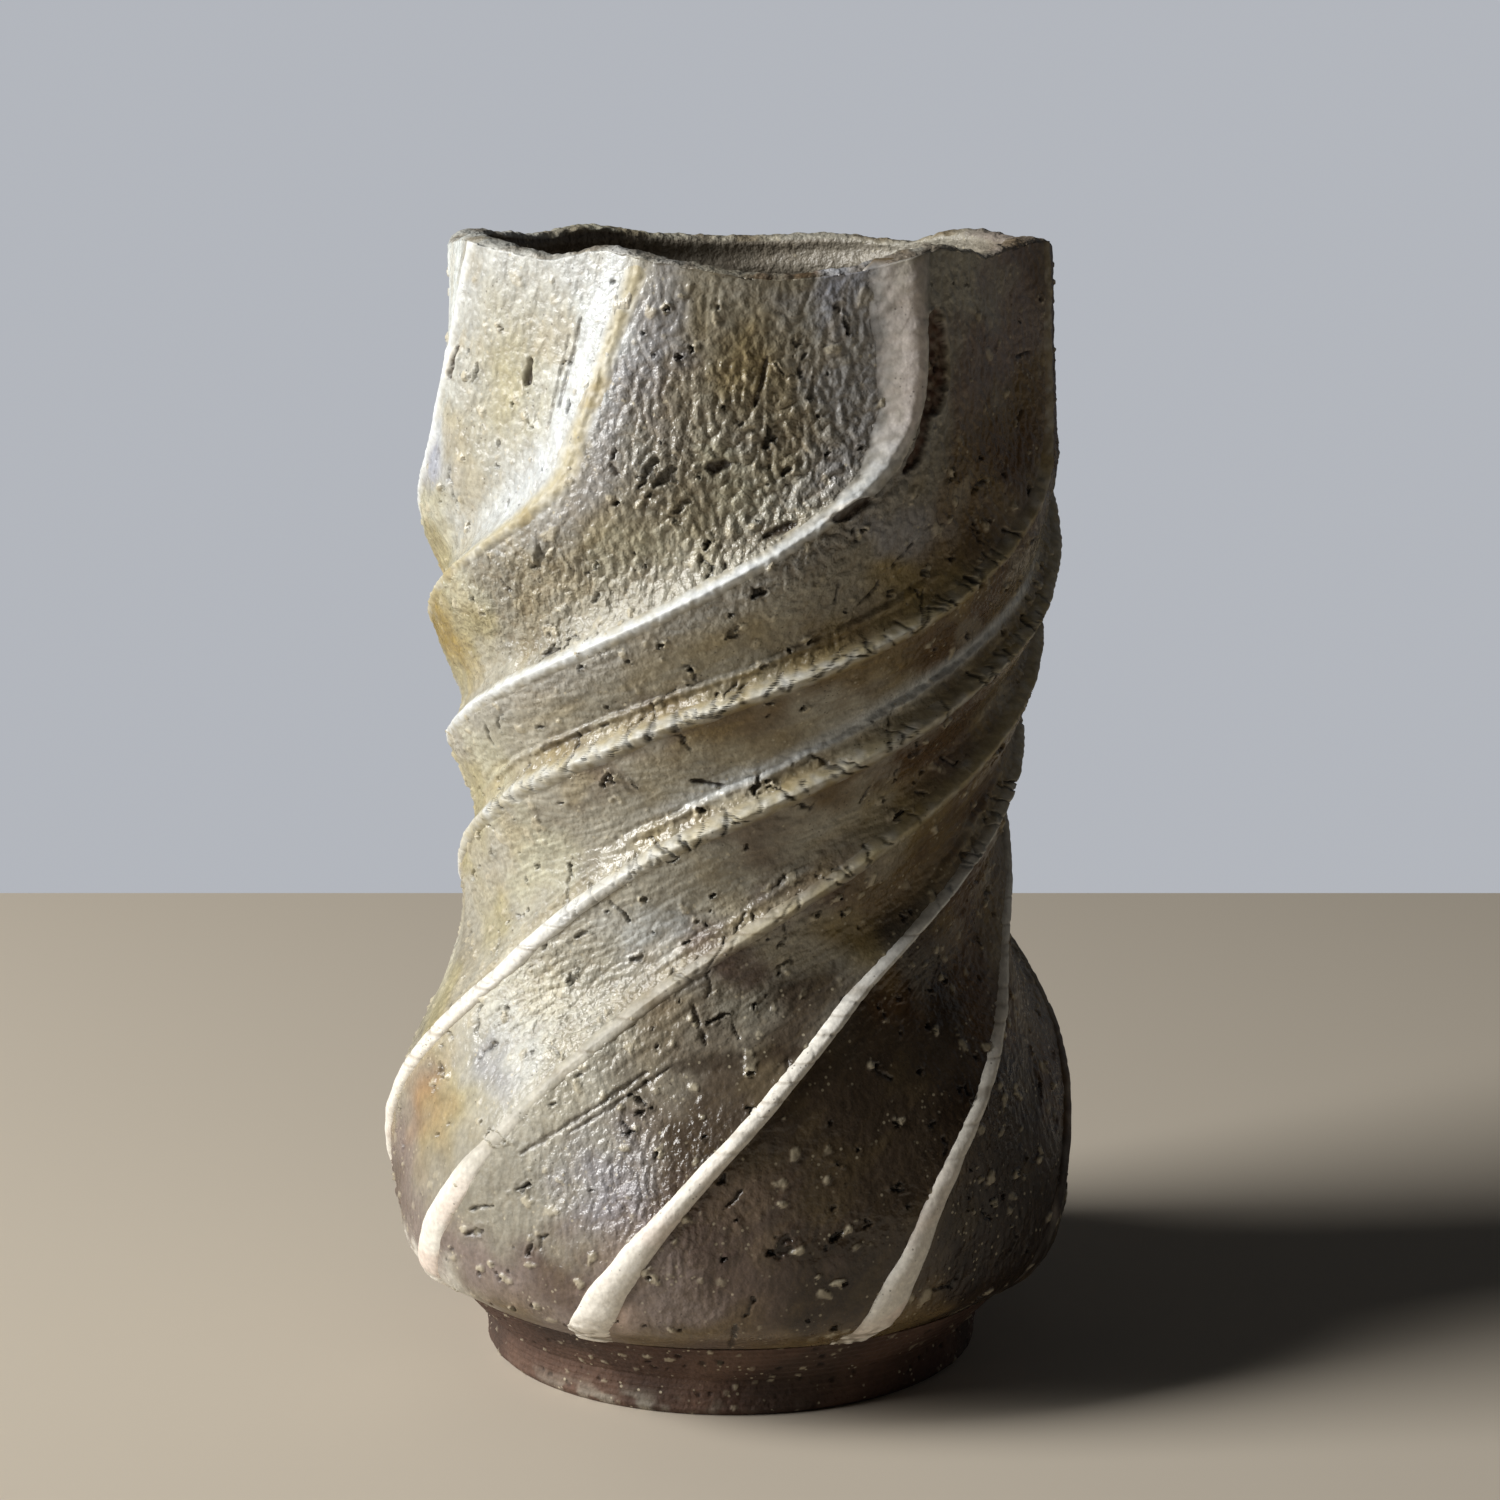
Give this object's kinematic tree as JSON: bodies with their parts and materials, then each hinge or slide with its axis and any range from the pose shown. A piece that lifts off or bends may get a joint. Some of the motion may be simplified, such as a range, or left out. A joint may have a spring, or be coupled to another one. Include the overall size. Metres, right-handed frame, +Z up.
{
  "type": "pottery vase",
  "caption": "Free-standing waisted stoneware vase with a twisted fluted wall, pale slip on the crests, a wavy open rim and a bare turned foot.",
  "frame": {"origin": "centre of the foot on the surface that the vase stands on", "axes": "+Z up to the open rim; -Y is the front that the reference view shows; +X to the viewer's right"},
  "size_m": [0.1258, 0.1255, 0.202],
  "materials": {
    "bare_clay": "unglazed dark brown fired clay with pale feldspar grains",
    "ash_glazed_clay": "rough natural ash glaze, grey-cream to olive and ochre, pitted",
    "white_slip": "cream-white slip, satin, finely crackled"
  },
  "bodies": {
    "root": {"turned_foot": "bare_clay", "floor_disc": "bare_clay", "fluted_wall": "ash_glazed_clay", "slip_ridge_1": "white_slip", "slip_ridge_2": "white_slip", "slip_ridge_3": "white_slip", "slip_ridge_4": "white_slip", "slip_ridge_5": "white_slip", "slip_ridge_6": "white_slip", "slip_ridge_7": "white_slip", "slip_ridge_8": "white_slip"}
  },
  "joints": []
}
